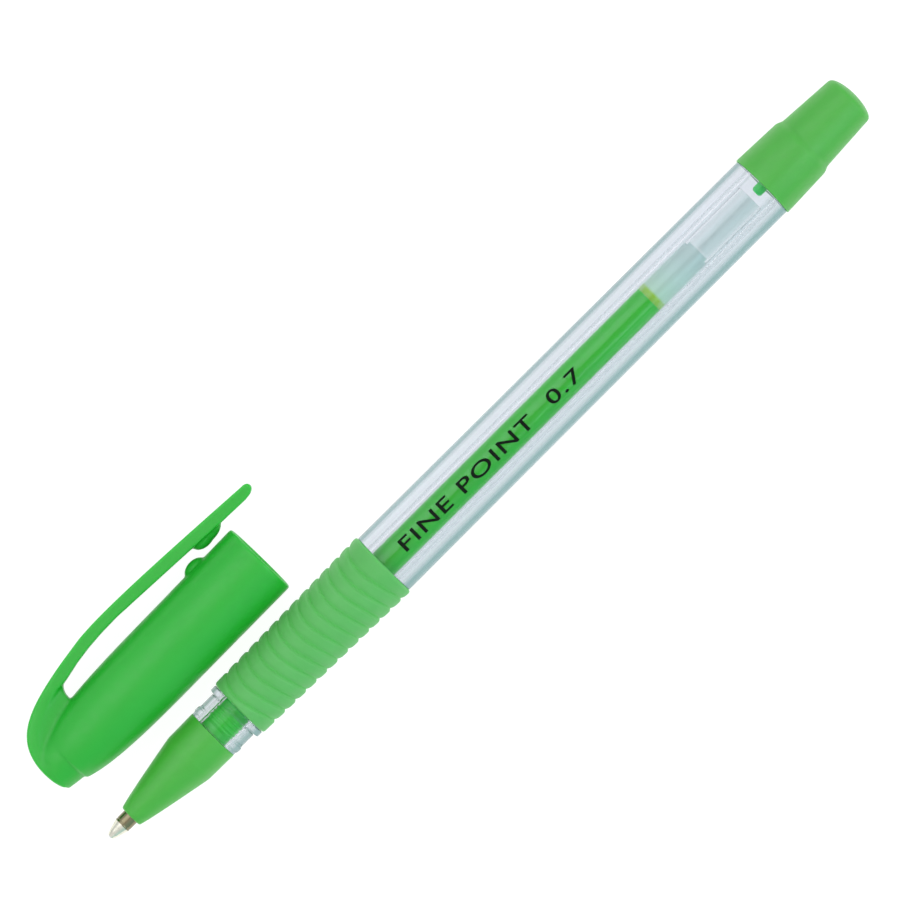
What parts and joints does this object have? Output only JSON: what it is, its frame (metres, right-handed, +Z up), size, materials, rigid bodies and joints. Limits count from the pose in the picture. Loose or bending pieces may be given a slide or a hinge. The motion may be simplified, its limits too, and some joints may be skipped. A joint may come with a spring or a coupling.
{
  "type": "gel pen",
  "caption": "Capped gel stick pen lying uncapped beside its cap, with clear barrel, ribbed soft grip, coloured ink refill, screw-in tip section and end plug.",
  "frame": {"origin": "on the floor, at the middle of the layout of pen and cap", "axes": "+X along the pen from the writing tip to the end plug, +Y across to the cap's side, +Z up"},
  "size_m": [0.137, 0.0264, 0.0107],
  "materials": {
    "clear_barrel": "clear polystyrene, polished",
    "soft_grip": "soft matte thermoplastic rubber",
    "green_section": "moulded satin plastic",
    "green_plug": "moulded satin plastic",
    "clear_refill": "clear polypropylene tube",
    "gel_ink": "gel ink, wet",
    "grease": "clear follower grease",
    "holder_plastic": "natural moulded plastic",
    "nickel_silver": "turned nickel silver, bright",
    "carbide": "ground ball",
    "green_cap": "moulded satin plastic",
    "green_clip": "moulded satin plastic"
  },
  "bodies": {
    "pen_body": {"barrel": "clear_barrel", "grip_sleeve": "soft_grip"},
    "section": {"front_section": "green_section"},
    "refill": {"refill_tube": "clear_refill", "ink_column": "gel_ink", "tip_holder": "holder_plastic", "tip_housing": "nickel_silver"},
    "follower": {"follower_grease": "grease"},
    "ball": {"writing_ball": "carbide"},
    "plug": {"end_plug": "green_plug"},
    "cap": {"cap_shell": "green_cap"},
    "clip": {"cap_clip": "green_clip"}
  },
  "joints": [
    {"name": "section_draw", "type": "slide", "parent": "pen_body", "child": "section", "axis": [-1, 0, 0], "range_m": [0, 0.09]},
    {"name": "refill_slide", "type": "slide", "parent": "section", "child": "refill", "axis": [1, 0, 0], "range_m": [0, 0.009]},
    {"name": "ball_roll", "type": "hinge", "parent": "refill", "child": "ball", "pos_m": [-0.06795, -0.00816, 0.005], "axis": [0, 1, 0], "continuous": true},
    {"name": "follower_travel", "type": "slide", "parent": "refill", "child": "follower", "axis": [-1, 0, 0], "range_m": [0, 0.064], "deforming": ["ink_column"]},
    {"name": "plug_pull", "type": "slide", "parent": "pen_body", "child": "plug", "axis": [1, 0, 0], "range_m": [0, 0.009]},
    {"name": "cap_slide", "type": "slide", "parent": "pen_body", "child": "cap", "axis": [-0.9999, -0.014, 0], "range_m": [0, 0.04]},
    {"name": "clip_flex", "type": "hinge", "parent": "cap", "child": "clip", "pos_m": [-0.05791, 0.01121, 0.00536], "axis": [0, 0, 1], "range_deg": [0, 4.5], "stiffness_Nm_per_rad": 0.9}
  ]
}
